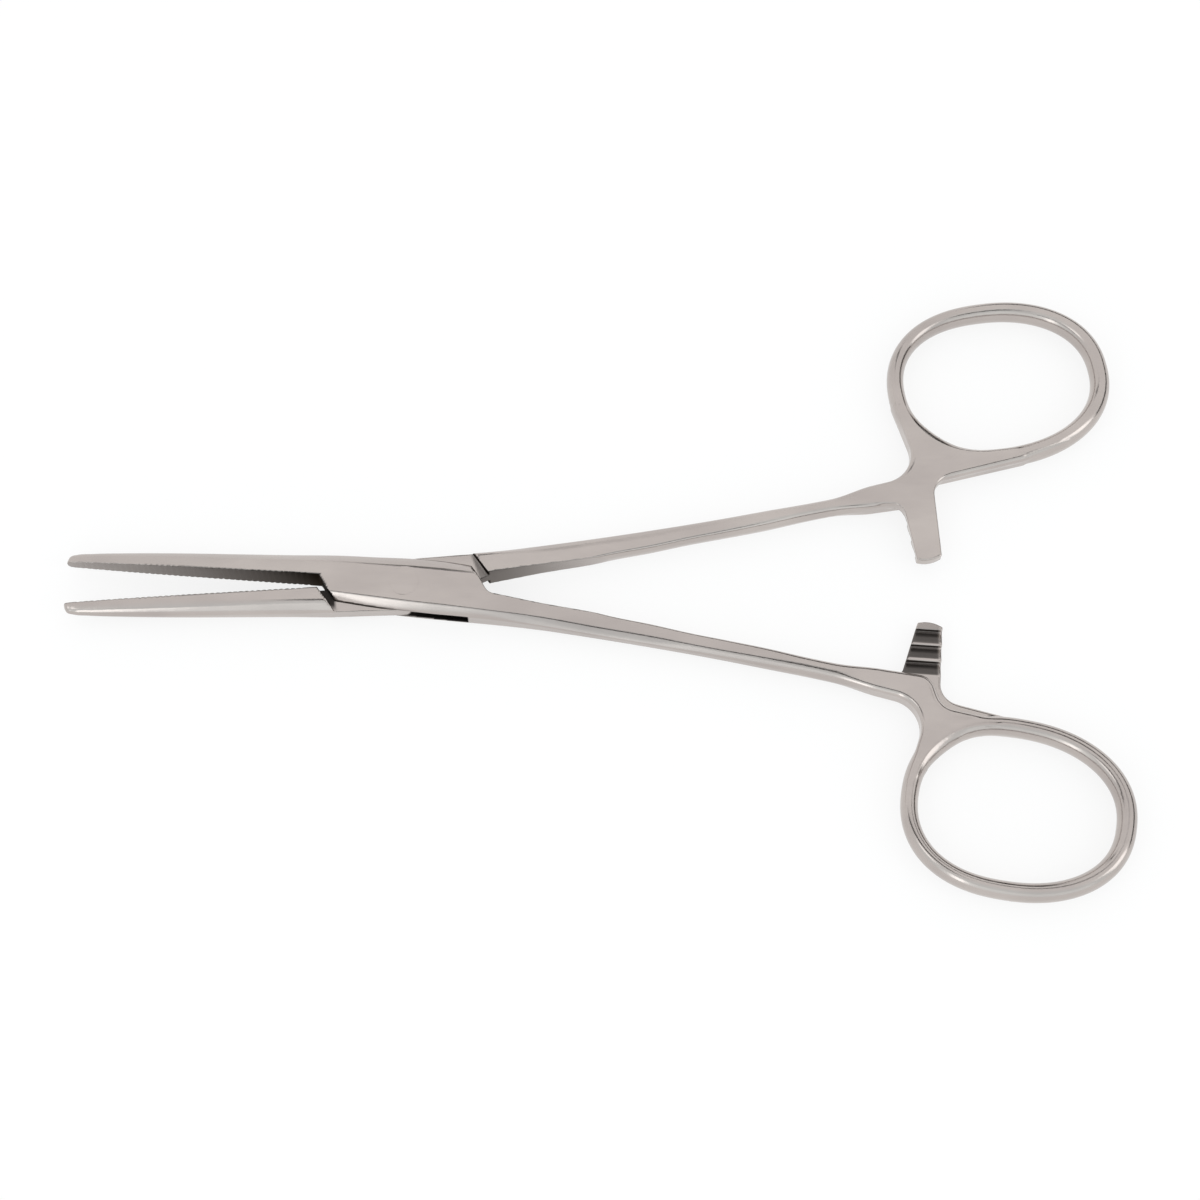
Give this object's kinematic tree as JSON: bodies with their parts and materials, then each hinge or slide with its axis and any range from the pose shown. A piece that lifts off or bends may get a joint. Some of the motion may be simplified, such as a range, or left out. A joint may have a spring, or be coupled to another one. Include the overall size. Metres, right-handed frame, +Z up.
{
  "type": "hemostat forceps",
  "caption": "Straight ring-handled hemostat forceps with cross-serrated jaws, a box lock and a locking ratchet between the shanks.",
  "frame": {"origin": "on the axis of the pivot pin, in the plane of the lower face on which the forceps lie", "axes": "X runs from the jaws towards the finger rings, Y across the two halves, Z up along the pivot pin"},
  "size_m": [0.1382, 0.0831, 0.0048],
  "materials": {
    "forged_steel": "satin polished stainless steel",
    "pin_steel": "satin polished stainless steel, ground flush"
  },
  "bodies": {
    "female_half": {"female_half": "forged_steel", "pivot_pin": "pin_steel"},
    "male_half": {"male_half": "forged_steel"}
  },
  "joints": [
    {"name": "box_lock", "type": "hinge", "parent": "female_half", "child": "male_half", "pos_m": [0, 0, 0.0024], "axis": [0, 0, 1], "range_deg": [-7.2, 52.8]}
  ]
}
